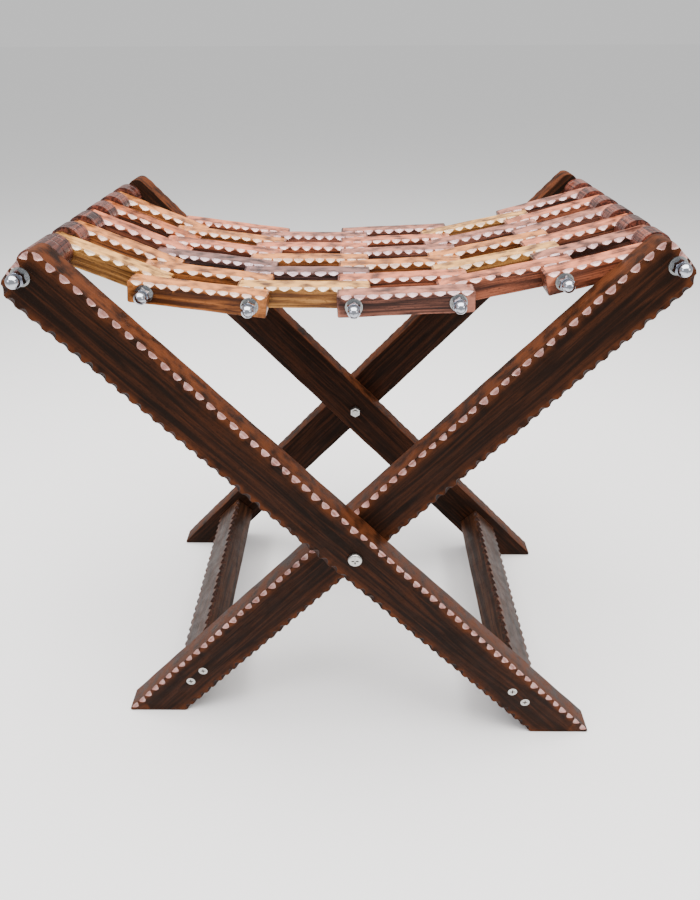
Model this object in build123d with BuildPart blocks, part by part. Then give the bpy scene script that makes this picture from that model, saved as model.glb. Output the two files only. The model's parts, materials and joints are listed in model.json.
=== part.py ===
"""Folding wooden X-leg stand with a seat of linked, chip-carved slats.

Two leg frames cross on a pair of pivot bolts. Seven threaded rods carry six
spans of interleaved wooden slats between the tops of the two frames.

Frame: X across the fold, Y from front to back, Z up. The origin is on the
floor, below the pivot, in the middle of the stand. Millimetres.
"""
from build123d import *
from math import acos, atan2, cos, degrees, hypot, radians, sin, sqrt
import os

# ---- driving dimensions -------------------------------------------------
depth = 328.2            # outer face of the front leg to outer face of the back leg
leg_width = 42.0         # leg stock, seen from the front
leg_layer = 25.0         # depth taken by one leg
leg_gap = 0.4            # air between two legs that slide past each other
end_margin = 8.5         # wood beyond the seat rod at the top of a leg
half_span = 225.75       # half the distance between the end rods, stand open
rod_height = 444.3       # height of the two end rods, stand open
pivot_height = 206.9     # height of the pivot bolts

slat_rows = 11           # interleaved rows from front to back
slat_pitch = 78.9        # distance between neighbouring rods, spans 2 to 5
end_pitch = 73.0         # the same for the first and the last span
slat_overhang = 13.2     # wood beyond the rod at each end of a slat
end_overhang = 9.0       # the same at the two end rods
slat_height = 17.0
slat_gap = 0.55          # air between neighbouring rows
span_angles = [-7.3, -0.5, 2.5, 11.6]   # spans 2 to 5 above the level, stand open

stretcher_drop = 221.0   # pivot to stretcher, along the leg
stretcher_width = 37.0   # along the leg
stretcher_thickness = 25.0
screw_spacing = 19.0     # between the two screws at each end of a stretcher

rod_diameter = 6.0
rod_hole = 6.4
washer_diameter = 13.5
washer_thickness = 1.2
nut_across_flats = 10.0
nut_hex_height = 8.0     # the six-sided part of a cap nut
nut_neck_diameter = 8.6  # round neck between the hexagon and the ball
nut_ball_diameter = 9.6
nut_ball_height = 11.8   # foot of the nut to the middle of the ball
nut_bore_depth = 9.0
spacer_diameter = 25.0
bolt_head_diameter = 12.0
bolt_head_height = 3.2
screw_head_diameter = 8.4
screw_shank_diameter = 4.0
screw_length = 50.0

leg_chip_pitch = 10.9    # gouge cuts along the corners of a leg
leg_chip_radius = 4.6
leg_chip_depth = 2.2     # below the corner, measured across it
slat_chip_pitch = 10.0
slat_chip_radius = 6.5
slat_chip_depth = 2.0

# ---- derived places -----------------------------------------------------
leg_angle = degrees(atan2(rod_height - pivot_height, half_span))
leg_reach = hypot(rod_height - pivot_height, half_span)
outer_face = depth / 2
middle_face = outer_face - leg_layer
inner_face = outer_face - 2 * leg_layer
row_pitch = 2 * inner_face / slat_rows
slat_thickness = row_pitch - slat_gap


def closing_angles(known):
    """Angles of the first and last span, which close the chain on both end rods."""
    dx = 2 * half_span - slat_pitch * sum(cos(radians(a)) for a in known)
    dz = -slat_pitch * sum(sin(radians(a)) for a in known)
    lean = degrees(atan2(dz, dx))
    spread = degrees(acos(hypot(dx, dz) / (2 * end_pitch)))
    return lean - spread, lean + spread


first_angle, last_angle = closing_angles(span_angles)
angles = [first_angle, *span_angles, last_angle]
pitches = [end_pitch, *[slat_pitch] * len(span_angles), end_pitch]

rods = [(-half_span, rod_height)]
for angle, pitch in zip(angles, pitches):
    x, z = rods[-1]
    rods.append((x + pitch * cos(radians(angle)), z + pitch * sin(radians(angle))))


def row_middle(row):
    """Depth of the middle of one seat row, counted from 1 at the front."""
    return -inner_face + (row - 0.5) * row_pitch


def leg_point(side, along, across):
    """A point on a leg's side profile: along it from the pivot, across it upwards."""
    x = side * (along * cos(radians(leg_angle)) - across * sin(radians(leg_angle)))
    z = pivot_height + along * sin(radians(leg_angle)) + across * cos(radians(leg_angle))
    return x, z


def foot_along(across):
    """Distance along the leg at which a line at this offset meets the floor."""
    return -(pivot_height + across * cos(radians(leg_angle))) / sin(radians(leg_angle))


def gouge_plane(corner, edge_direction, outward, radius, cut_depth):
    """Plane whose normal runs across a corner, for a gouge cut of this radius."""
    across = edge_direction.cross(outward)
    return Plane(origin=corner + outward * (radius - cut_depth), x_dir=outward, z_dir=across)


def corner_gouges(start, end, pitch, outward, radius, cut_depth):
    """Evenly spaced gouge planes along a corner from start to end."""
    line = end - start
    count = round(line.length / pitch)
    step = line / count
    return [
        gouge_plane(start + step * (k + 0.5), line.normalized(), outward, radius, cut_depth)
        for k in range(count)
    ]


os.makedirs("parts", exist_ok=True)


def save(builder, label):
    """Label a finished piece and write its STEP file."""
    builder.part.label = label
    export_step(builder.part, f"parts/{label}.step")


# ---- legs ---------------------------------------------------------------
toe_radius = 2.0
heel_radius = 4.0
upper_end_radius = 9.0
lower_end_radius = 14.0
leg_edge_round = 1.2
chip_end_clearance = 7.0


def screw_places(side):
    """Side positions of the two screws at one end of a stretcher."""
    return [
        leg_point(side, -stretcher_drop + offset, 0)
        for offset in (-screw_spacing / 2, screw_spacing / 2)
    ]


def make_leg(label, side, near_face, facing):
    """One leg. side is -1 for the frame whose top is at -X, facing is its carved side."""
    half_width = leg_width / 2
    top = leg_reach + end_margin
    face_y = near_face + facing * leg_layer
    low_y = min(near_face, face_y) + leg_gap / 2
    high_y = max(near_face, face_y) - leg_gap / 2
    carved_y = low_y if facing < 0 else high_y
    outline = [
        leg_point(side, top, half_width),
        leg_point(side, top, -half_width),
        leg_point(side, foot_along(-half_width), -half_width),
        leg_point(side, foot_along(half_width), half_width),
    ]
    with BuildPart() as leg:
        with BuildSketch(Plane.XZ.offset(-high_y)):
            with BuildLine():
                Polyline(*outline, close=True)
            make_face()
            heel = vertices().group_by(Axis.Y)[0].sort_by(lambda v: abs(v.X))[0]
            fillet(heel, heel_radius)
            toe = vertices().group_by(Axis.Y)[0].sort_by(lambda v: abs(v.X))[-1]
            fillet(toe, toe_radius)
            end_corners = vertices().sort_by(Axis.Y)[-2:]
            fillet(end_corners[1], upper_end_radius)
            fillet(vertices().sort_by(lambda v: side * v.X)[-1], lower_end_radius)
        extrude(amount=high_y - low_y)
        smooth_faces = leg.faces().sort_by(Axis.Y)
        smooth = smooth_faces[-1] if facing < 0 else smooth_faces[0]
        fillet(smooth.edges(), leg_edge_round)
        gouges = []
        for sign in (1, -1):
            across = sign * half_width
            x0, z0 = leg_point(side, top - chip_end_clearance, across)
            x1, z1 = leg_point(side, foot_along(across) + chip_end_clearance, across)
            nx, nz = leg_point(side, 0, sign)
            outward = Vector(nx, facing, nz - pivot_height).normalized()
            gouges += corner_gouges(
                Vector(x0, carved_y, z0), Vector(x1, carved_y, z1),
                leg_chip_pitch, outward, leg_chip_radius, leg_chip_depth,
            )
        with Locations(*gouges):
            Cylinder(leg_chip_radius, 4 * leg_chip_depth, mode=Mode.SUBTRACT)
        holes = [leg_point(side, leg_reach, 0), (0, pivot_height)]
        middle_y = (low_y + high_y) / 2
        with Locations(*[Plane((x, middle_y, z), z_dir=(0, 1, 0)) for x, z in holes]):
            Cylinder(rod_hole / 2, 2 * leg_layer, mode=Mode.SUBTRACT)
        with Locations(*[
            Plane((x, carved_y, z), z_dir=(0, facing, 0)) for x, z in screw_places(side)
        ]):
            CounterSinkHole(screw_shank_diameter / 2, screw_head_diameter / 2 + 0.15, leg_layer)
    save(leg, label)


make_leg("frame_a_leg_front", -1, -middle_face, -1)
make_leg("frame_a_leg_rear", -1, inner_face, 1)
make_leg("frame_b_leg_front", 1, -inner_face, -1)
make_leg("frame_b_leg_rear", 1, middle_face, 1)

# ---- stretchers ---------------------------------------------------------
stretcher_edge_round = 1.5


def make_stretcher(label, side, front_y, rear_y):
    """The rail that joins the two legs of a frame, screwed on through the legs."""
    x, z = leg_point(side, -stretcher_drop, 0)
    upward = Vector(-side * sin(radians(leg_angle)), 0, cos(radians(leg_angle)))
    along = Vector(side * cos(radians(leg_angle)), 0, sin(radians(leg_angle)))
    length = rear_y - front_y
    section = Plane(origin=(x, front_y, z), x_dir=along, z_dir=(0, 1, 0))
    with BuildPart() as rail:
        with BuildSketch(section):
            Rectangle(stretcher_width, stretcher_thickness)
        extrude(amount=length)
        long_edges = rail.edges().filter_by(Axis.Y)
        lower_edges = sorted(long_edges, key=lambda e: (e.center() - Vector(x, 0, z)).dot(upward))
        fillet(lower_edges[:2], stretcher_edge_round)
        gouges = []
        for sign in (1, -1):
            edge = Vector(x, 0, z) + along * (sign * stretcher_width / 2)
            edge += upward * (stretcher_thickness / 2)
            gouges += corner_gouges(
                Vector(edge.X, front_y + chip_end_clearance, edge.Z),
                Vector(edge.X, rear_y - chip_end_clearance, edge.Z),
                leg_chip_pitch, (upward + along * sign).normalized(),
                leg_chip_radius, leg_chip_depth,
            )
        with Locations(*gouges):
            Cylinder(leg_chip_radius, 4 * leg_chip_depth, mode=Mode.SUBTRACT)
        pilots = []
        for px, pz in screw_places(side):
            pilots.append(Plane((px, front_y, pz), z_dir=(0, -1, 0)))
            pilots.append(Plane((px, rear_y, pz), z_dir=(0, 1, 0)))
        with Locations(*pilots):
            Hole(screw_shank_diameter / 2, screw_length - leg_layer + 1)
    save(rail, label)


joint_face = leg_gap / 2     # a leg stands back by this much from its layer's plane
make_stretcher("frame_a_stretcher", -1, -middle_face - joint_face, inner_face + joint_face)
make_stretcher("frame_b_stretcher", 1, -inner_face - joint_face, middle_face + joint_face)

# ---- stretcher screws ---------------------------------------------------
screw_head_depth = (screw_head_diameter - screw_shank_diameter) / 2
screw_stand = 0.1        # the heads stand this far proud of the leg
recess_width = 1.0
recess_length = 4.4
recess_depth = 1.4


def make_stretcher_screws(label, side, front_face, rear_face):
    """Four countersunk cross-head screws, all but flush with the faces of the legs."""
    with BuildPart() as screws:
        for px, pz in screw_places(side):
            for face_y, way in ((front_face - screw_stand, -1), (rear_face + screw_stand, 1)):
                head = Plane((px, face_y, pz), z_dir=(0, way, 0))
                with Locations(head.offset(-screw_head_depth / 2)):
                    Cone(screw_shank_diameter / 2, screw_head_diameter / 2, screw_head_depth)
                with Locations(head.offset(-(screw_head_depth + screw_length) / 2)):
                    Cylinder(screw_shank_diameter / 2, screw_length - screw_head_depth)
                with Locations(head.offset(-recess_depth / 2)):
                    Box(recess_length, recess_width, recess_depth, mode=Mode.SUBTRACT)
                    Box(recess_width, recess_length, recess_depth, mode=Mode.SUBTRACT)
    save(screws, label)


make_stretcher_screws("frame_a_stretcher_screws", -1, -outer_face + joint_face,
                      middle_face - joint_face)
make_stretcher_screws("frame_b_stretcher_screws", 1, -middle_face + joint_face,
                      outer_face - joint_face)

# ---- pivot bolts and their nuts ----------------------------------------
pivot_slack = 0.3
pivot_nut_height = 6.0
bolt_head_round = 1.6
bolt_tail = 1.5
bolt_recess_length = 6.0
bolt_recess_width = 1.4

with BuildPart() as pivot_bolts:
    for way, head_y in ((-1, outer_face - joint_face), (1, outer_face - joint_face + pivot_slack)):
        seat = Plane((0, way * head_y, pivot_height), z_dir=(0, way, 0))
        tail = head_y - inner_face + pivot_slack + pivot_nut_height + bolt_tail
        with BuildSketch(seat):
            Circle(bolt_head_diameter / 2)
        extrude(amount=bolt_head_height)
        head_rim = pivot_bolts.faces().sort_by(Axis.Y)[0 if way < 0 else -1].edges()
        fillet(head_rim, bolt_head_round)
        with Locations(seat.offset(-tail / 2)):
            Cylinder(rod_diameter / 2, tail)
        with Locations(seat.offset(bolt_head_height - recess_depth / 2)):
            Box(bolt_recess_length, bolt_recess_width, recess_depth, mode=Mode.SUBTRACT)
            Box(bolt_recess_width, bolt_recess_length, recess_depth, mode=Mode.SUBTRACT)
save(pivot_bolts, "pivot_bolts")

with BuildPart() as pivot_nuts:
    nut_faces = ((-inner_face - joint_face + pivot_slack, 1), (inner_face + joint_face, -1))
    for nut_y, way in nut_faces:
        with BuildSketch(Plane((0, nut_y, pivot_height), z_dir=(0, way, 0))):
            RegularPolygon(nut_across_flats / 2, 6, major_radius=False)
            Circle(rod_diameter / 2, mode=Mode.SUBTRACT)
        extrude(amount=pivot_nut_height)
save(pivot_nuts, "pivot_nuts")

# ---- seat rods ----------------------------------------------------------
seat_face = inner_face - slat_gap / 2      # outer faces of the first and last row
rod_tail = washer_thickness + nut_bore_depth
rear_spacer_face = middle_face - leg_gap


def add_rod(x, z, front, rear):
    """A plain length of rod between two depths."""
    with Locations(Plane((x, (front + rear) / 2, z), z_dir=(0, 1, 0))):
        Cylinder(rod_diameter / 2, rear - front)


with BuildPart() as seat_rod_1:
    add_rod(*rods[0], -outer_face + joint_face - rod_tail, middle_face - joint_face + rod_tail)
save(seat_rod_1, "seat_rod_1")

for first in (1, 3):
    with BuildPart() as pair:
        for x, z in rods[first:first + 2]:
            add_rod(x, z, -seat_face - rod_tail, seat_face + rod_tail)
    save(pair, f"seat_rods_{first + 1}_{first + 2}")

with BuildPart() as seat_rods_6_7:
    add_rod(*rods[5], -seat_face - rod_tail, seat_face + rod_tail)
    add_rod(*rods[6], -seat_face, rear_spacer_face)
save(seat_rods_6_7, "seat_rods_6_7")

stud_slack = 0.3
with BuildPart() as seat_rod_7_studs:
    add_rod(*rods[6], -middle_face + joint_face - rod_tail, -inner_face - joint_face - stud_slack)
    add_rod(*rods[6], middle_face + joint_face + stud_slack, outer_face - joint_face + rod_tail)
save(seat_rod_7_studs, "seat_rod_7_studs")

# ---- washers and cap nuts ----------------------------------------------
rod_ends = {
    "frame_a": [(rods[0], -outer_face + joint_face, -1), (rods[0], middle_face - joint_face, 1)],
    "span_2": [(rods[k], way * seat_face, way) for k in (1, 2) for way in (-1, 1)],
    "span_4": [(rods[k], way * seat_face, way) for k in (3, 4) for way in (-1, 1)],
    "span_6": [(rods[5], way * seat_face, way) for way in (-1, 1)],
    "frame_b": [(rods[6], -middle_face + joint_face, -1), (rods[6], outer_face - joint_face, 1)],
}

for body, places in rod_ends.items():
    with BuildPart() as washers:
        for (x, z), face_y, way in places:
            with BuildSketch(Plane((x, face_y, z), z_dir=(0, way, 0))):
                Circle(washer_diameter / 2)
                Circle(rod_diameter / 2, mode=Mode.SUBTRACT)
            extrude(amount=washer_thickness)
    save(washers, f"washers_{body}")

    with BuildPart() as cap_nuts:
        for (x, z), face_y, way in places:
            base = Plane((x, face_y + way * washer_thickness, z), z_dir=(0, way, 0))
            with BuildSketch(base):
                RegularPolygon(nut_across_flats / 2, 6, major_radius=False)
            extrude(amount=nut_hex_height)
            with Locations(base.offset((nut_hex_height + nut_ball_height) / 2)):
                Cylinder(nut_neck_diameter / 2, nut_ball_height - nut_hex_height)
            with Locations(base.offset(nut_ball_height)):
                Sphere(nut_ball_diameter / 2)
            with Locations(base.offset(nut_bore_depth / 2)):
                Cylinder(rod_diameter / 2, nut_bore_depth, mode=Mode.SUBTRACT)
    save(cap_nuts, f"cap_nuts_{body}")

# ---- turned spacers -----------------------------------------------------
groove_radius = 1.1


def add_spacer(x, z, front, rear, grooves):
    """A turned wooden ring on a rod, with shallow grooves round it."""
    length = rear - front
    with BuildSketch(Plane((x, front, z), z_dir=(0, 1, 0))) as ring:
        Circle(spacer_diameter / 2)
        Circle(rod_diameter / 2, mode=Mode.SUBTRACT)
    extrude(ring.sketch, amount=length)
    for k in range(grooves):
        share = (k + 0.5) / grooves
        with Locations(Plane((x, front + share * length, z), z_dir=(0, 1, 0))):
            Torus(spacer_diameter / 2 + groove_radius / 3, groove_radius, mode=Mode.SUBTRACT)


with BuildPart() as spacers_left:
    add_spacer(*rods[0], -middle_face - joint_face, row_middle(1) + slat_thickness / 2, 4)
    for row in range(3, slat_rows, 2):
        middle = row_middle(row)
        add_spacer(*rods[0], middle - slat_thickness / 2, middle + slat_thickness / 2, 2)
    add_spacer(*rods[0], row_middle(slat_rows) - slat_thickness / 2, inner_face + joint_face, 2)
save(spacers_left, "spacers_left")

with BuildPart() as spacers_right:
    for row in range(2, slat_rows, 2):
        middle = row_middle(row)
        add_spacer(*rods[6], middle - slat_thickness / 2, middle + slat_thickness / 2, 2)
    add_spacer(*rods[6], seat_face, rear_spacer_face, 2)
save(spacers_right, "spacers_right")

# ---- seat slats ---------------------------------------------------------
slat_end_chamfer = 1.6
slat_end_round = 4.0     # the corners of a slat at the two end rods
slat_edge_round = 1.2
slat_chip_margin = 5.0


def make_slat(pitch, left_overhang, right_overhang, rounded):
    """One slat along X from its left rod. rounded names the ends with round corners."""
    left, right = -left_overhang, pitch + right_overhang
    with BuildPart() as slat:
        with BuildSketch(Plane.XZ.offset(-slat_thickness / 2)):
            with Locations(((left + right) / 2, 0)):
                Rectangle(right - left, slat_height)
            for end, index in (("left", 0), ("right", -1)):
                corners = vertices().group_by(Axis.X)[index]
                if end in rounded:
                    fillet(corners, slat_end_round)
                else:
                    chamfer(corners, slat_end_chamfer)
        extrude(amount=slat_thickness)
        fillet(slat.faces().sort_by(Axis.Y)[-1].edges(), slat_edge_round)
        gouges = corner_gouges(
            Vector(left + slat_chip_margin, -slat_thickness / 2, slat_height / 2),
            Vector(right - slat_chip_margin, -slat_thickness / 2, slat_height / 2),
            slat_chip_pitch, Vector(0, -1, 1).normalized(), slat_chip_radius, slat_chip_depth,
        )
        with Locations(*gouges):
            Cylinder(slat_chip_radius, 4 * slat_chip_depth, mode=Mode.SUBTRACT)
        with Locations(*[Plane((x, 0, 0), z_dir=(0, 1, 0)) for x in (0, pitch)]):
            Cylinder(rod_hole / 2, 2 * slat_thickness, mode=Mode.SUBTRACT)
    return slat.part


first_slat = make_slat(end_pitch, end_overhang, slat_overhang, ["left"])
middle_slat = make_slat(slat_pitch, slat_overhang, slat_overhang, [])
last_slat = make_slat(end_pitch, slat_overhang, end_overhang, ["right"])
slat_shapes = [first_slat, *[middle_slat] * len(span_angles), last_slat]

for span, (angle, shape) in enumerate(zip(angles, slat_shapes), start=1):
    x, z = rods[span - 1]
    first_row = 2 if span % 2 else 1
    for count, row in enumerate(range(first_row, slat_rows + 1, 2), start=1):
        with BuildPart() as placed_slat:
            with Locations(Location((x, row_middle(row), z), (0, -angle, 0))):
                add(shape)
        save(placed_slat, f"slat_{span}_{count}")
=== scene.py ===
"""Looks of a folding X-leg stand: two crossed wooden frames and a seat of linked, carved slats.

Everything is in metres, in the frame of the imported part: X across the fold, Y from front to
back, Z up.
"""
import json
import math
import random

import bmesh
import bpy
from mathutils import Matrix, Vector
from mathutils.geometry import delaunay_2d_cdt


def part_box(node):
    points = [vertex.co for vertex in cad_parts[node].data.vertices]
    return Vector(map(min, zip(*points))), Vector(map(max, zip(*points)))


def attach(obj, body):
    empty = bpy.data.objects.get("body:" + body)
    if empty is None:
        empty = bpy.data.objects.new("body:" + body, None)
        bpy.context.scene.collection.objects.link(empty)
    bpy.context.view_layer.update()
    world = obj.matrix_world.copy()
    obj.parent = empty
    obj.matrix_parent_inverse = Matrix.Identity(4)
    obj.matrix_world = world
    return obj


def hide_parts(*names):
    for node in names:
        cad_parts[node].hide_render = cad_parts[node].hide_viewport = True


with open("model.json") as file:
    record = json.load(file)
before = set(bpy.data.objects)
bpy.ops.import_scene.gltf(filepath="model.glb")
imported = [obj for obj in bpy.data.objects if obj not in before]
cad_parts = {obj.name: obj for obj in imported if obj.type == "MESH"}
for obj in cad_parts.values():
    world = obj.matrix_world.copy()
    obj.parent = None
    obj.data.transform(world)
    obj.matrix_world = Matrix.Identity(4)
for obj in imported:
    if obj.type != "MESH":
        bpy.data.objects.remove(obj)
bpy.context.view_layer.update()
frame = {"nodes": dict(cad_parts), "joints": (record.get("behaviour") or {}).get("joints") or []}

# ---- Studio -------------------------------------------------------------------------------
# A wide pale floor under an even white sky. One broad lamp hangs over the seat, and one low lamp
# on each side puts the shine on the gouge cuts; the cuts that face up also carry a painted
# highlight in their colour. The camera stands in front of the stand and looks down on the seat.
camera_place = Vector((0.0004, -0.6592, 0.5878))
camera_pitch = math.radians(29.25)
camera_yaw = math.radians(-0.49)
camera_roll = math.radians(-0.23)
camera_lens = 29.89

camera_data = bpy.data.cameras.new("camera")
camera_data.lens = camera_lens
camera_data.sensor_width = 36.0
camera_data.dof.use_dof = False
camera = bpy.data.objects.new("camera", camera_data)
bpy.context.scene.collection.objects.link(camera)
camera.location = camera_place
look = Matrix.Rotation(-camera_yaw, 4, "Z") @ Matrix.Rotation(math.pi / 2 - camera_pitch, 4, "X")
camera.rotation_mode = "QUATERNION"
camera.rotation_quaternion = (look @ Matrix.Rotation(camera_roll, 4, "Z")).to_quaternion()
bpy.context.scene.camera = camera


def add_softbox(name, place, target, width, height, power, tint):
    """A rectangular lamp at a place, aimed at a target."""
    lamp = bpy.data.lights.new(name, "AREA")
    lamp.shape = "RECTANGLE"
    lamp.size = width
    lamp.size_y = height
    lamp.energy = power
    lamp.color = tint
    holder = bpy.data.objects.new(name, lamp)
    holder.location = place
    aim = Vector(target) - Vector(place)
    holder.rotation_mode = "QUATERNION"
    holder.rotation_quaternion = aim.to_track_quat("-Z", "Y")
    bpy.context.scene.collection.objects.link(holder)


seat_middle = (0.0, 0.0, 0.42)
add_softbox("overhead_softbox", (0.0, -0.1, 1.5), seat_middle, 1.9, 1.5, 74.0, (1.0, 0.97, 0.95))
add_softbox("left_softbox", (-1.2, -0.85, 1.0), seat_middle, 0.6, 0.5, 4.0, (0.93, 0.88, 1.0))
add_softbox("right_softbox", (1.2, -0.85, 1.0), seat_middle, 0.6, 0.5, 4.0, (1.0, 0.91, 0.86))

sky = bpy.data.worlds.new("studio")
sky.use_nodes = True
sky.node_tree.nodes["Background"].inputs["Color"].default_value = (1.0, 1.0, 1.0, 1.0)
sky.node_tree.nodes["Background"].inputs["Strength"].default_value = 0.75
bpy.context.scene.world = sky

floor_reach = 40.0
floor_mesh = bpy.data.meshes.new("studio_floor")
floor_mesh.from_pydata(
    [(-floor_reach, -floor_reach, 0.0), (floor_reach, -floor_reach, 0.0),
     (floor_reach, floor_reach, 0.0), (-floor_reach, floor_reach, 0.0)],
    [], [(0, 1, 2, 3)])
floor = bpy.data.objects.new("studio_floor", floor_mesh)
bpy.context.scene.collection.objects.link(floor)
floor_paint = bpy.data.materials.new("pale_floor")
floor_paint.use_nodes = True
floor_shader = floor_paint.node_tree.nodes["Principled BSDF"]
floor_shader.inputs["Base Color"].default_value = (0.95, 0.95, 0.95, 1.0)
floor_shader.inputs["Roughness"].default_value = 1.0
floor_shader.inputs["Specular IOR Level"].default_value = 0.0
floor.data.materials.append(floor_paint)

# ---- Legs ---------------------------------------------------------------------------------
# Four legs of dark stained hardwood, sawn from flat stock. The maker takes a gouge across both
# long corners and the top corner of the outer face, stains the wood and lacquers it.
leg_width = 0.042
leg_end_margin = 0.0085
leg_chip_pitch = 0.0109
leg_chip_width = 0.0082
leg_chip_depth = 0.0041
leg_chip_bluntness = 2.2
place_play = 0.05                          # how unevenly the gouge is set, in pitches
narrowest_chip, widest_chip = 0.92, 1.08   # against the mean width
shallowest_chip, deepest_chip = 0.86, 1.12
lean_play, skew_play = 0.12, 0.16
leg_corner_radii = [0.004, 0.014, 0.009, 0.002]
outline_step = 0.0007


def joint_place(name):
    """Where a joint's axis is, in metres."""
    return Vector(next(j["pos_m"] for j in frame["joints"] if j["name"] == name))


pivot = joint_place("fold")
end_rod = joint_place("seat_hinge_1")
leg_reach = (end_rod - pivot).length
leg_slope = math.atan2(end_rod.z - pivot.z, -end_rod.x)

# A cut facing up takes material slot 1, a pale copy of the cut wood as a painted highlight; a cut
# facing down takes slot 2, a dark, dull copy close to the wood's own colour, as painted shade.
plain, upper_cut, under_cut = 0, 1, 2      # kinds of edge, and the material slot of a cut in it
leg_chip_lean = {upper_cut: 0.42, under_cut: 0.75}


def round_corners(corners, radii, carved):
    """Samples a closed outline. Returns (point, inward normal, kind of edge) at even steps.

    corners run anticlockwise, radii rounds each of them, and carved says what kind the side is
    that starts at that corner: plain, cut and facing up, or cut and facing down.
    """
    count = len(corners)
    pieces = []
    for k in range(count):
        before = (corners[k - 1] - corners[k]).normalized()
        after = (corners[(k + 1) % count] - corners[k]).normalized()
        half_turn = math.acos(max(-1.0, min(1.0, before.dot(after)))) / 2
        radius = radii[k]
        setback = radius / math.tan(half_turn)
        centre = corners[k] + (before + after).normalized() * (radius / math.sin(half_turn))
        start = corners[k] + before * setback
        end = corners[k] + after * setback
        pieces.append((centre, radius, start, end, math.pi - 2 * half_turn))
    samples = []
    for k in range(count):
        centre, radius, start, end, turn = pieces[k]
        arc_steps = max(3, round(radius * turn / outline_step))
        first = math.atan2(*(start - centre).yx)
        arc_carved = max(carved[k], carved[k - 1]) if carved[k] and carved[k - 1] else plain
        for step in range(arc_steps):
            angle = first + turn * step / arc_steps
            out = Vector((math.cos(angle), math.sin(angle)))
            samples.append((centre + out * radius, -out, arc_carved))
        next_start = pieces[(k + 1) % count][2]
        run = next_start - end
        steps = max(1, round(run.length / outline_step))
        inward = Vector((-run.y, run.x)).normalized()
        for step in range(steps):
            samples.append((end + run * (step / steps), inward, carved[k]))
    return samples


def chip_cuts(samples, room, chips, plain_edge, dice):
    """How deep the gouge went at each sample: (depth on the face, depth on the side).

    room is the most that the outline leaves for a cut at each sample, near its corners. chips is
    (pitch, width, depth, share of the depth that the side takes by kind of edge, bluntness).
    """
    pitch, width, depth, side_share, bluntness = chips
    count = len(samples)
    first = next((k for k in range(count) if samples[k][2] and not samples[k - 1][2]), None)
    cuts = [(plain_edge, plain_edge)] * count
    if first is None:
        return cuts
    runs = []
    order = [(first + k) % count for k in range(count)]
    for k in order:
        if samples[k][2]:
            if not runs or not samples[k - 1][2]:
                runs.append([])
            runs[-1].append(k)
    for run in runs:
        place = [0.0]
        for a, b in zip(run, run[1:]):
            place.append(place[-1] + (samples[b][0] - samples[a][0]).length)
        chip_count = max(1, round(place[-1] / pitch))
        step = place[-1] / chip_count
        for chip in range(chip_count):
            middle = (chip + 0.5) * step + dice.uniform(-place_play, place_play) * pitch
            half = width / 2 * dice.uniform(narrowest_chip, widest_chip)
            deep = depth * dice.uniform(shallowest_chip, deepest_chip)
            lean = dice.uniform(-lean_play, lean_play)
            skew = dice.uniform(-skew_play, skew_play)
            for k, s in zip(run, place):
                t = (s - middle) / half
                if abs(t) >= 1:
                    continue
                bowl = deep * (1 - abs(t) ** bluntness) * (1 + skew * t)
                bowl = min(bowl, room[k])
                if bowl > cuts[k][0]:
                    on_side = bowl * (1 - lean) * side_share[samples[k][2]]
                    cuts[k] = (max(plain_edge, bowl * (1 + lean)), max(plain_edge, on_side))
    return cuts


def fill_flat(shape, rim, edge_wear_and_lit_top, height):
    """Fills a flat face inside a rim of vertices, with a few points inside that carry no edge
    scuffing and no painted light.
    """
    points = [vert.co.xy for vert in rim]
    low_x, high_x = min(p.x for p in points), max(p.x for p in points)
    middle = (min(p.y for p in points) + max(p.y for p in points)) / 2
    inner_step = 0.004
    edge_band = 0.012
    inner = []
    x = low_x + edge_band
    while x < high_x - edge_band:
        for offset in (-inner_step, 0.0, inner_step):
            inner.append(Vector((x, middle + offset)))
        x += inner_step
    loop = list(range(len(points)))
    flat, _, faces, origins, _, _ = delaunay_2d_cdt(points + inner, [], [loop], 1, 1e-7)
    verts = {}
    for k in sorted({k for corners in faces for k in corners}):
        rim_source = next((source for source in origins[k] if source < len(rim)), None)
        if rim_source is None:
            verts[k] = shape.verts.new((flat[k].x, flat[k].y, height))
            verts[k][edge_wear_and_lit_top] = 0.0
        else:
            verts[k] = rim[rim_source]
    for corners in faces:
        if len({verts[k] for k in corners}) == 3:
            face = shape.faces.new([verts[k] for k in corners])
            face.smooth = True


def lay_grain(mesh, turn, seed):
    """Keeps the wood's own coordinates on the mesh, with the grain along their X."""
    dice = random.Random(1000 + seed)
    shift = Vector((dice.uniform(-3, 3), dice.uniform(-3, 3), dice.uniform(-3, 3)))
    grain = mesh.attributes.new("grain", "FLOAT_VECTOR", "POINT")
    for vert, place in zip(mesh.vertices, grain.data):
        place.vector = turn @ vert.co + shift


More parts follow.
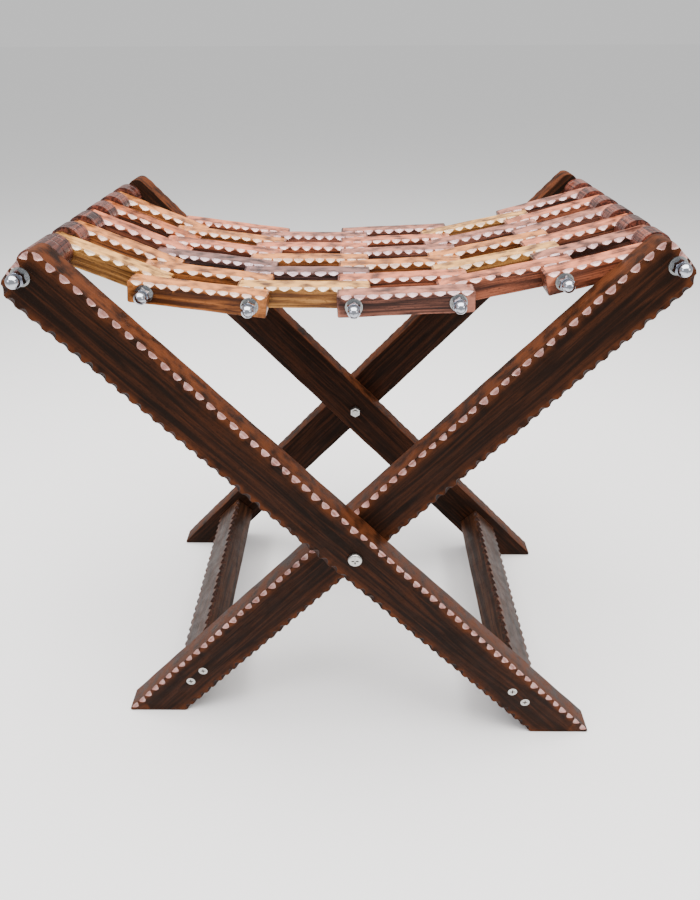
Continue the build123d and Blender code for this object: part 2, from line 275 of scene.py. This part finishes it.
def carve_board(name, corners, radii, carved, thickness, chips, seed, edge=0.0005, back_edge=0.001):
    """A flat board with a gouge-cut edge. Its outline lies in XY, its carved face is at Z = 0."""
    dice = random.Random(seed)
    if sum(a.x * b.y - b.x * a.y for a, b in zip(corners, corners[1:] + corners[:1])) < 0:
        corners = corners[::-1]
        radii = radii[::-1]
        carved = carved[-2::-1] + carved[-1:]
    samples = round_corners(corners, radii, carved)
    room = [
        min(0.8 * radius + 0.4 * (point - corner).length for corner, radius in zip(corners, radii))
        for point, _, _ in samples
    ]
    cuts = chip_cuts(samples, room, chips, edge, dice)
    mesh = bpy.data.meshes.new(name)
    shape = bmesh.new()
    # One value per vertex: 1 at scuffed edges, and 1 over the whole side under a cut that faces up,
    # where the lighter tone is painted light from above.
    edge_wear_and_lit_top = shape.verts.layers.float.new("edge_wear_and_lit_top")
    hollow = 0.10              # how far a cut dips below a straight bevel
    stock_inset = 0.00022      # keeps the uneven side inside the sawn stock
    clean_band = 0.0013        # side just under a cut, before the flat of the side
    cut_limit = 2.2 * edge     # deeper than this, the bevel is a cut and not a scuffed edge
    rings = []
    for (point, inward, kind), (on_face, on_side) in zip(samples, cuts):
        # Under a cut that faces up, the whole side stays at 1: a lighter top side, painted light
        # from the lamp above.
        painted_lit_top = 1.0 if kind == upper_cut else 0.0
        wave = 0.00012 * math.sin(point.x * 61 + seed) + 0.0001 * math.sin(point.x * 173 + 2 * seed)
        base = point + inward * (stock_inset + wave)
        across = [(on_face, 0.0, 1.0)]
        for share in (0.28, 0.64):
            dip = hollow * 4 * share * (1 - share) * min(on_face, on_side)
            across.append((on_face * (1 - share) + dip, on_side * share + dip, 0.7))
        across += [
            (0.0, on_side, 1.0),
            (0.0, min(on_side + clean_band, thickness * 0.6), painted_lit_top),
            (0.0, thickness - back_edge, max(0.3, painted_lit_top)),
            (back_edge * 0.3, thickness - back_edge * 0.3, 1.0),
            (back_edge, thickness, 0.3),
        ]
        ring = []
        for inset, drop, edge_wear_and_lit_share in across:
            flat = base + inward * inset
            vert = shape.verts.new((flat.x, flat.y, -drop))
            vert[edge_wear_and_lit_top] = edge_wear_and_lit_share
            ring.append(vert)
        rings.append(ring)
    facet_columns = (0, 1, 2)
    for k, ring in enumerate(rings):
        after = rings[(k + 1) % len(rings)]
        cut_here = max(cuts[k][0], cuts[(k + 1) % len(rings)][0]) > cut_limit
        for j in range(len(ring) - 1):
            face = shape.faces.new((after[j], ring[j], ring[j + 1], after[j + 1]))
            face.material_index = samples[k][2] if cut_here and j in facet_columns else 0
            face.smooth = True
    fill_flat(shape, [ring[0] for ring in rings], edge_wear_and_lit_top, 0.0)
    fill_flat(shape, [ring[-1] for ring in rings], edge_wear_and_lit_top, -thickness)
    bmesh.ops.recalc_face_normals(shape, faces=shape.faces)
    shape.to_mesh(mesh)
    shape.free()
    mesh.set_sharp_from_angle(angle=math.radians(30))
    lay_grain(mesh, Matrix.Identity(3), seed)
    board = bpy.data.objects.new(name, mesh)
    bpy.context.scene.collection.objects.link(board)
    return board


def stand_board(board, origin, along, outward):
    """Places a board: its X runs along the grain and its Z points out of the carved face."""
    side = outward.cross(along)
    turn = Matrix((along, side, outward)).transposed().to_4x4()
    board.data.transform(Matrix.Translation(origin) @ turn)


def card_colour(red, green, blue):
    """A colour given as on a paint card, 0 to 255, in the values that a shader takes."""
    shares = [c / 255 for c in (red, green, blue)]
    linear = [s / 12.92 if s < 0.04045 else ((s + 0.055) / 1.055) ** 2.4 for s in shares]
    return (*linear, 1.0)


def new_group(name, inputs, outputs):
    """An empty shader group with float, colour or vector sockets."""
    group = bpy.data.node_groups.new(name, "ShaderNodeTree")
    kinds = {"value": "NodeSocketFloat", "colour": "NodeSocketColor", "vector": "NodeSocketVector"}
    for socket, kind, start in inputs:
        item = group.interface.new_socket(socket, in_out="INPUT", socket_type=kinds[kind])
        item.default_value = start
    for socket, kind in outputs:
        group.interface.new_socket(socket, in_out="OUTPUT", socket_type=kinds[kind])
    return group, group.nodes.new("NodeGroupInput"), group.nodes.new("NodeGroupOutput")


def stretched_noise(tree, source, stretch, scale, detail, distortion):
    """Noise drawn out along the grain. source is the socket with the wood's own coordinates."""
    pull = tree.nodes.new("ShaderNodeVectorMath")
    pull.operation = "MULTIPLY"
    pull.inputs[1].default_value = (stretch, 1.0, 1.0)
    noise = tree.nodes.new("ShaderNodeTexNoise")
    noise.inputs["Scale"].default_value = scale
    noise.inputs["Detail"].default_value = detail
    noise.inputs["Distortion"].default_value = distortion
    tree.links.new(source, pull.inputs[0])
    tree.links.new(pull.outputs[0], noise.inputs["Vector"])
    return noise.outputs["Fac"]


def spread(tree, source, low, high, bottom=0.0, top=1.0):
    """Stretches a value between low and high over bottom to top, clamped."""
    ramp = tree.nodes.new("ShaderNodeMapRange")
    ramp.interpolation_type = "SMOOTHSTEP"
    ramp.inputs["From Min"].default_value = low
    ramp.inputs["From Max"].default_value = high
    ramp.inputs["To Min"].default_value = bottom
    ramp.inputs["To Max"].default_value = top
    tree.links.new(source, ramp.inputs["Value"])
    return ramp.outputs["Result"]


def calculate(tree, operation, a, b):
    """One sum on two sockets or numbers."""
    node = tree.nodes.new("ShaderNodeMath")
    node.operation = operation
    for socket, value in zip(node.inputs, (a, b)):
        if isinstance(value, (int, float)):
            socket.default_value = value
        else:
            tree.links.new(value, socket)
    return node.outputs[0]


def blend_colours(tree, share, first, second):
    """Mixes two colours, given as sockets or colours, by a share given as a socket or number."""
    mix = tree.nodes.new("ShaderNodeMix")
    mix.data_type = "RGBA"
    for socket, value in ((mix.inputs[0], share), (mix.inputs[6], first), (mix.inputs[7], second)):
        if isinstance(value, bpy.types.NodeSocket):
            tree.links.new(value, socket)
        else:
            socket.default_value = value
    return mix.outputs[2]


def build_grain_group():
    """Grain of an open-pored hardwood: broad figure, fine fibres and short dark pores."""
    group, given, made = new_group(
        "hardwood_grain",
        [("Coordinates", "vector", (0.0, 0.0, 0.0)),
         ("Dark Wood", "colour", (0.02, 0.01, 0.01, 1.0)),
         ("Mid Wood", "colour", (0.1, 0.05, 0.03, 1.0)),
         ("Light Wood", "colour", (0.3, 0.15, 0.1, 1.0)),
         ("Figure", "value", 0.5), ("Fibre", "value", 0.5), ("Pores", "value", 0.5)],
        [("Colour", "colour"), ("Gloss Loss", "value"), ("Height", "value")],
    )
    where = given.outputs["Coordinates"]
    bands = spread(group, stretched_noise(group, where, 0.05, 250, 5, 0.9), 0.34, 0.66)
    patches = spread(group, stretched_noise(group, where, 0.35, 32, 3, 0.4), 0.36, 0.64)
    fibres = spread(group, stretched_noise(group, where, 0.035, 950, 4, 0.2), 0.3, 0.7)
    dashes = spread(group, stretched_noise(group, where, 0.22, 1500, 2, 0.0), 0.57, 0.68)
    broad = calculate(group, "MULTIPLY", bands, 0.7)
    broad = calculate(group, "ADD", broad, calculate(group, "MULTIPLY", patches, 0.3))
    base = blend_colours(group, broad, given.outputs["Dark Wood"], given.outputs["Mid Wood"])
    brightest = calculate(group, "MULTIPLY", bands, bands)
    lit = calculate(group, "MULTIPLY", brightest, given.outputs["Figure"])
    base = blend_colours(group, lit, base, given.outputs["Light Wood"])
    between_fibres = calculate(group, "SUBTRACT", 1.0, fibres)
    thread = calculate(group, "MULTIPLY", between_fibres, given.outputs["Fibre"])
    base = blend_colours(group, thread, base, given.outputs["Dark Wood"])
    pitted = calculate(group, "MULTIPLY", dashes, given.outputs["Pores"])
    base = blend_colours(group, pitted, base, given.outputs["Dark Wood"])
    relief = calculate(group, "SUBTRACT", calculate(group, "MULTIPLY", fibres, 0.35), pitted)
    group.links.new(base, made.inputs["Colour"])
    group.links.new(pitted, made.inputs["Gloss Loss"])
    group.links.new(relief, made.inputs["Height"])
    return group


def build_wear_and_lit_top_group():
    """Handled wood: the arrises rub through to a lighter tone in places, the lacquer clouds. Top
    sides marked at 1 take the same lighter tone all over, as painted light from above.
    """
    group, given, made = new_group(
        "rubbed_edges_and_lit_tops",
        [("Coordinates", "vector", (0.0, 0.0, 0.0)), ("Colour", "colour", (0.1, 0.1, 0.1, 1.0)),
         ("Rubbed And Lit Colour", "colour", (0.3, 0.2, 0.1, 1.0)), ("Edge Wear And Lit Top", "value", 0.0),
         ("Rubbing And Top Light", "value", 0.5), ("Roughness", "value", 0.3), ("Gloss Loss", "value", 0.0)],
        [("Colour", "colour"), ("Roughness", "value")],
    )
    cloud = group.nodes.new("ShaderNodeTexNoise")
    cloud.inputs["Scale"].default_value = 85
    cloud.inputs["Detail"].default_value = 6
    group.links.new(given.outputs["Coordinates"], cloud.inputs["Vector"])
    patchy = spread(group, cloud.outputs["Fac"], 0.32, 0.64)
    near_edge_and_lit_top = calculate(group, "POWER", given.outputs["Edge Wear And Lit Top"], 5.0)
    rubbed_and_lit_share = calculate(group, "MULTIPLY", near_edge_and_lit_top, patchy)
    rubbed_and_lit_share = calculate(group, "MULTIPLY", rubbed_and_lit_share, given.outputs["Rubbing And Top Light"])
    colour = blend_colours(group, rubbed_and_lit_share, given.outputs["Colour"], given.outputs["Rubbed And Lit Colour"])
    haze = spread(group, cloud.outputs["Fac"], 0.3, 0.7, -0.05, 0.09)
    rough = calculate(group, "ADD", given.outputs["Roughness"], haze)
    dull = calculate(group, "MULTIPLY", given.outputs["Gloss Loss"], 0.25)
    rough = calculate(group, "ADD", rough, dull)
    group.links.new(colour, made.inputs["Colour"])
    group.links.new(rough, made.inputs["Roughness"])
    return group


grain_group = build_grain_group()
wear_and_lit_top_group = build_wear_and_lit_top_group()


def lacquered_wood(name, dark, mid, light, figure, fibre, pores, roughness, rubbing_and_top_light, relief,
                   shine, coat):
    """A lacquered wood material from its three tones and the strength of each grain feature."""
    material = bpy.data.materials.new(name)
    material.use_nodes = True
    tree = material.node_tree
    shader = tree.nodes["Principled BSDF"]
    own = tree.nodes.new("ShaderNodeAttribute")
    own.attribute_name = "grain"
    grain = tree.nodes.new("ShaderNodeGroup")
    grain.node_tree = grain_group
    tree.links.new(own.outputs["Vector"], grain.inputs["Coordinates"])
    for socket, tone in (("Dark Wood", dark), ("Mid Wood", mid), ("Light Wood", light)):
        grain.inputs[socket].default_value = tone
    grain.inputs["Figure"].default_value = figure
    grain.inputs["Fibre"].default_value = fibre
    grain.inputs["Pores"].default_value = pores
    edge_wear_and_lit_top = tree.nodes.new("ShaderNodeAttribute")
    edge_wear_and_lit_top.attribute_name = "edge_wear_and_lit_top"
    wear_and_lit_top_node = tree.nodes.new("ShaderNodeGroup")
    wear_and_lit_top_node.node_tree = wear_and_lit_top_group
    tree.links.new(own.outputs["Vector"], wear_and_lit_top_node.inputs["Coordinates"])
    tree.links.new(grain.outputs["Colour"], wear_and_lit_top_node.inputs["Colour"])
    tree.links.new(grain.outputs["Gloss Loss"], wear_and_lit_top_node.inputs["Gloss Loss"])
    tree.links.new(edge_wear_and_lit_top.outputs["Fac"], wear_and_lit_top_node.inputs["Edge Wear And Lit Top"])
    wear_and_lit_top_node.inputs["Rubbed And Lit Colour"].default_value = light
    wear_and_lit_top_node.inputs["Rubbing And Top Light"].default_value = rubbing_and_top_light
    wear_and_lit_top_node.inputs["Roughness"].default_value = roughness
    tree.links.new(wear_and_lit_top_node.outputs["Colour"], shader.inputs["Base Color"])
    tree.links.new(wear_and_lit_top_node.outputs["Roughness"], shader.inputs["Roughness"])
    bump = tree.nodes.new("ShaderNodeBump")
    bump.inputs["Strength"].default_value = relief
    bump.inputs["Distance"].default_value = 0.0004
    tree.links.new(grain.outputs["Height"], bump.inputs["Height"])
    tree.links.new(bump.outputs["Normal"], shader.inputs["Normal"])
    shader.inputs["Specular IOR Level"].default_value = shine
    shader.inputs["Coat Weight"].default_value = coat
    shader.inputs["Coat Roughness"].default_value = 0.16
    return material


# Besides the scuffed edges, the lighter tone covers each leg's top side all along, as painted light
# from above.
leg_wood = lacquered_wood(
    "leg_walnut", card_colour(20, 11, 6), card_colour(42, 22, 12), card_colour(112, 60, 32),
    figure=0.16, fibre=0.5, pores=0.6, roughness=0.5, rubbing_and_top_light=0.42, relief=0.35, shine=0.06,
    coat=0.0)
# Lit and shaded copies of one cut material: the pale copy is a painted highlight on cuts that face
# up; the dark, dull copy, close to the leg's own colour, is painted shade on cuts that face down.
painted_highlight_cut_wood = lacquered_wood(
    "leg_gouge_cuts_painted_highlight", card_colour(108, 64, 54), card_colour(168, 114, 104), card_colour(220, 178, 170),
    figure=0.4, fibre=0.25, pores=0.2, roughness=0.24, rubbing_and_top_light=0.3, relief=0.2, shine=0.6, coat=0.6)
own_tone_and_shade_cut_wood = lacquered_wood(
    "leg_gouge_cuts_own_tone_and_painted_shade", card_colour(20, 11, 8), card_colour(48, 27, 19), card_colour(84, 50, 38),
    figure=0.4, fibre=0.4, pores=0.4, roughness=0.5, rubbing_and_top_light=0.3, relief=0.2, shine=0.1, coat=0.0)


def make_leg(node, body, lean, facing, seed):
    """One leg. lean is +1 for the leg whose top is at +X, facing is -1 for a carved front."""
    low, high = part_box(node)
    face_y = low.y if facing < 0 else high.y
    along = Vector((lean * math.cos(leg_slope), 0.0, math.sin(leg_slope)))
    outward = Vector((0.0, facing, 0.0))
    up = Vector((-lean * math.sin(leg_slope), 0.0, math.cos(leg_slope)))
    flip = outward.cross(along).dot(up)
    half = leg_width / 2
    top = leg_reach + leg_end_margin

    def foot(across):
        return -(pivot.z + across * up.z) / along.z

    corners = [
        Vector((foot(-half), -half * flip)), Vector((top, -half * flip)),
        Vector((top, half * flip)), Vector((foot(half), half * flip)),
    ]
    chips = (leg_chip_pitch, leg_chip_width, leg_chip_depth, leg_chip_lean, leg_chip_bluntness)
    leg = carve_board(node + "_carved", corners, leg_corner_radii,
                      [under_cut, upper_cut, upper_cut, plain], high.y - low.y, chips, seed)
    stand_board(leg, Vector((pivot.x, face_y, pivot.z)), along, outward)
    leg.data.materials.append(leg_wood)
    leg.data.materials.append(painted_highlight_cut_wood)
    leg.data.materials.append(own_tone_and_shade_cut_wood)
    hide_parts(node)
    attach(leg, body)


make_leg("frame_a_leg_front", "frame_a", -1, -1, 11)
make_leg("frame_a_leg_rear", "frame_a", -1, 1, 12)
make_leg("frame_b_leg_front", "frame_b", 1, -1, 13)
make_leg("frame_b_leg_rear", "frame_b", 1, 1, 14)

# ---- Stretchers ---------------------------------------------------------------------------
# One rail low down between the two legs of each frame, of the same stained stock, with its
# broad face turned up and out and gouge-cut along both of that face's edges.
rail_width = 0.037
rail_thickness = 0.025
rail_corner_radius = 0.0008
rail_chip_lean = {under_cut: 1.0}

rail_wood = lacquered_wood(
    "rail_walnut", card_colour(26, 15, 9), card_colour(54, 32, 20), card_colour(106, 64, 40),
    figure=0.25, fibre=0.5, pores=0.6, roughness=0.42, rubbing_and_top_light=0.45, relief=0.35, shine=0.16,
    coat=0.0)


def make_rail(node, body, lean, seed):
    """The rail of one frame, between the screws' places that the CAD part gives."""
    low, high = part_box(node)
    middle = (low + high) / 2
    outward = Vector((-lean * math.sin(leg_slope), 0.0, math.cos(leg_slope)))
    half_length = (high.y - low.y) / 2
    half_width = rail_width / 2
    corners = [
        Vector((-half_length, -half_width)), Vector((half_length, -half_width)),
        Vector((half_length, half_width)), Vector((-half_length, half_width)),
    ]
    chips = (leg_chip_pitch, leg_chip_width, leg_chip_depth, rail_chip_lean, leg_chip_bluntness)
    rail = carve_board(node + "_carved", corners, [rail_corner_radius] * 4,
                       [under_cut, plain, under_cut, plain], rail_thickness, chips, seed)
    place = middle + outward * (rail_thickness / 2)
    stand_board(rail, place, Vector((0.0, 1.0, 0.0)), outward)
    rail.data.materials.append(rail_wood)
    rail.data.materials.append(painted_highlight_cut_wood)
    rail.data.materials.append(own_tone_and_shade_cut_wood)
    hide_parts(node)
    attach(rail, body)


make_rail("frame_a_stretcher", "frame_a", -1, 21)
make_rail("frame_b_stretcher", "frame_b", 1, 22)

# ---- Seat slats ---------------------------------------------------------------------------
# Thirty-three short slats of mixed offcuts, so that each has its own tone, from honey to rose
# and slate. Each is drilled at both ends and gouge-cut along its upper front corner.
slat_height = 0.017
slat_overhang = 0.0130
slat_corner = 0.0016
end_overhang = 0.0088
end_corner = 0.0040
slat_chip_pitch = 0.0098
slat_chip_width = 0.0094
slat_chip_depth = 0.0030
slat_chip_lean = {upper_cut: 0.8}
slat_chip_bluntness = 1.6
slat_back_edge = 0.0012
tightest_hand, widest_hand = 0.96, 1.16

slat_tones = {
    "honey": (card_colour(44, 20, 8), card_colour(106, 56, 24), card_colour(226, 142, 76)),
    "straw": (card_colour(58, 32, 12), card_colour(134, 82, 38), card_colour(238, 176, 98)),
    "rose": (card_colour(42, 19, 12), card_colour(92, 46, 29), card_colour(224, 132, 94)),
    "mauve": (card_colour(32, 16, 12), card_colour(68, 37, 27), card_colour(192, 124, 102)),
    "slate": (card_colour(26, 15, 14), card_colour(54, 34, 29), card_colour(144, 104, 96)),
    "russet": (card_colour(34, 14, 7), card_colour(80, 38, 20), card_colour(208, 114, 64)),
}
# Near-white copies of each slat's tones for its gouge cuts: a painted highlight on facets that face
# up and to the front.
slat_cut_painted_highlight_tones = {
    "honey": (card_colour(196, 146, 120), card_colour(238, 202, 180), card_colour(252, 234, 220)),
    "straw": (card_colour(200, 160, 122), card_colour(240, 212, 178), card_colour(252, 238, 216)),
    "rose": (card_colour(196, 140, 130), card_colour(236, 190, 182), card_colour(252, 226, 220)),
    "mauve": (card_colour(172, 128, 126), card_colour(218, 180, 180), card_colour(244, 220, 222)),
    "slate": (card_colour(156, 124, 130), card_colour(206, 178, 184), card_colour(236, 216, 222)),
    "russet": (card_colour(180, 128, 108), card_colour(226, 182, 164), card_colour(248, 220, 206)),
}
# Besides the scuffed edges, the lighter tone covers each slat's whole top side, as painted light
# from above.
slat_woods = {}
for tone, (dark, mid, light) in slat_tones.items():
    slat_woods[tone] = (
        lacquered_wood("slat_" + tone, dark, mid, light, figure=0.35, fibre=0.5, pores=0.6,
                       roughness=0.34, rubbing_and_top_light=0.68, relief=0.35, shine=0.16, coat=0.06),
        lacquered_wood("slat_cuts_painted_highlight_" + tone, *slat_cut_painted_highlight_tones[tone], figure=0.4, fibre=0.3, pores=0.2,
                       roughness=0.24, rubbing_and_top_light=0.3, relief=0.15, shine=0.5, coat=0.6),
    )

span_tones = [
    ["straw", "honey", "rose", "russet", "honey"],
    ["honey", "honey", "slate", "rose", "honey", "rose"],
    ["straw", "slate", "honey", "rose", "mauve"],
    ["mauve", "rose", "honey", "mauve", "rose", "mauve"],
    ["rose", "straw", "honey", "mauve", "straw"],
    ["rose", "mauve", "rose", "mauve", "rose", "mauve"],
]
seat_rods = [joint_place(f"seat_hinge_{k}") for k in range(1, 7)]
stud_low, stud_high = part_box("seat_rod_7_studs")
seat_rods.append((stud_low + stud_high) / 2)


def make_slat(node, span, tone, seed):
    """One slat between two rods, with its carved corner up and to the front."""
    low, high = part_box(node)
    left_rod, right_rod = seat_rods[span - 1], seat_rods[span]
    along = right_rod - left_rod
    along.y = 0.0
    pitch = along.length
    along.normalize()
    outward = Vector((0.0, -1.0, 0.0))
    before, left_corner = (end_overhang, end_corner) if span == 1 else (slat_overhang, slat_corner)
    after, right_corner = (end_overhang, end_corner) if span == 6 else (slat_overhang, slat_corner)
    half = slat_height / 2
    corners = [
        Vector((-before, -half)), Vector((pitch + after, -half)),
        Vector((pitch + after, half)), Vector((-before, half)),
    ]
    radii = [left_corner, right_corner, right_corner, left_corner]
    hand = random.Random(seed).uniform(tightest_hand, widest_hand)
    chips = (slat_chip_pitch * hand, slat_chip_width * hand, slat_chip_depth,
             slat_chip_lean, slat_chip_bluntness)
    slat = carve_board(node + "_carved", corners, radii, [plain, plain, upper_cut, plain],
                       high.y - low.y, chips, seed, back_edge=slat_back_edge)
    stand_board(slat, Vector((left_rod.x, low.y, left_rod.z)), along, outward)
    for wood in slat_woods[tone]:
        slat.data.materials.append(wood)
    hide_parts(node)
    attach(slat, f"span_{span}")


for span, tones in enumerate(span_tones, start=1):
    for count, tone in enumerate(tones, start=1):
        make_slat(f"slat_{span}_{count}", span, tone, 100 * span + count)

# ---- Spacers ------------------------------------------------------------------------------
# Turned hardwood rings that fill the gaps between slats on the two end rods, stained reddish
# brown, each with rounded rims and shallow grooves from the lathe.
spacer_wood = lacquered_wood(
    "turned_spacer_wood", card_colour(36, 15, 12), card_colour(88, 44, 34), card_colour(146, 84, 66),
    figure=0.6, fibre=0.6, pores=0.4, roughness=0.33, rubbing_and_top_light=0.6, relief=0.35, shine=0.35,
    coat=0.1)
for node in ("spacers_left", "spacers_right"):
    rings = frame["nodes"][node].data
    rings.shade_smooth()
    rings.set_sharp_from_angle(angle=math.radians(35))
    lay_grain(rings, Matrix.Rotation(math.radians(90), 3, "Z"), len(node))
    rings.materials.clear()
    rings.materials.append(spacer_wood)

# ---- Metal --------------------------------------------------------------------------------
# Threaded rods with zinc washers and chromed cap nuts, two pan-head pivot bolts with nuts, and
# countersunk cross-head screws through the legs into the rails.


def plated_metal(name, tone, roughness, brushing):
    """Plated steel with fine handling marks that vary its gloss."""
    material = bpy.data.materials.new(name)
    material.use_nodes = True
    tree = material.node_tree
    shader = tree.nodes["Principled BSDF"]
    own = tree.nodes.new("ShaderNodeTexCoord")
    marks = tree.nodes.new("ShaderNodeTexNoise")
    marks.inputs["Scale"].default_value = 900
    marks.inputs["Detail"].default_value = 5
    tree.links.new(own.outputs["Object"], marks.inputs["Vector"])
    rough = spread(tree, marks.outputs["Fac"], 0.3, 0.7, roughness, roughness + brushing)
    darker = [c * 0.82 for c in tone]
    colour = blend_colours(tree, marks.outputs["Fac"], card_colour(*tone), card_colour(*darker))
    tree.links.new(rough, shader.inputs["Roughness"])
    tree.links.new(colour, shader.inputs["Base Color"])
    shader.inputs["Metallic"].default_value = 1.0
    return material


chrome = plated_metal("cap_nut_chrome", (186, 190, 200), 0.08, 0.08)
zinc = plated_metal("washer_zinc", (176, 178, 176), 0.22, 0.14)
screw_zinc = plated_metal("screw_zinc", (190, 190, 186), 0.24, 0.16)
rod_steel = plated_metal("rod_steel", (140, 138, 134), 0.32, 0.16)
for node, part in frame["nodes"].items():
    finish = None
    if node.startswith("cap_nuts"):
        finish = chrome
    elif node.startswith("washers"):
        finish = zinc
    elif node.startswith("seat_rod"):
        finish = rod_steel
    elif node.endswith("screws") or node.startswith("pivot"):
        finish = screw_zinc
    if finish:
        part.data.materials.clear()
        part.data.materials.append(finish)
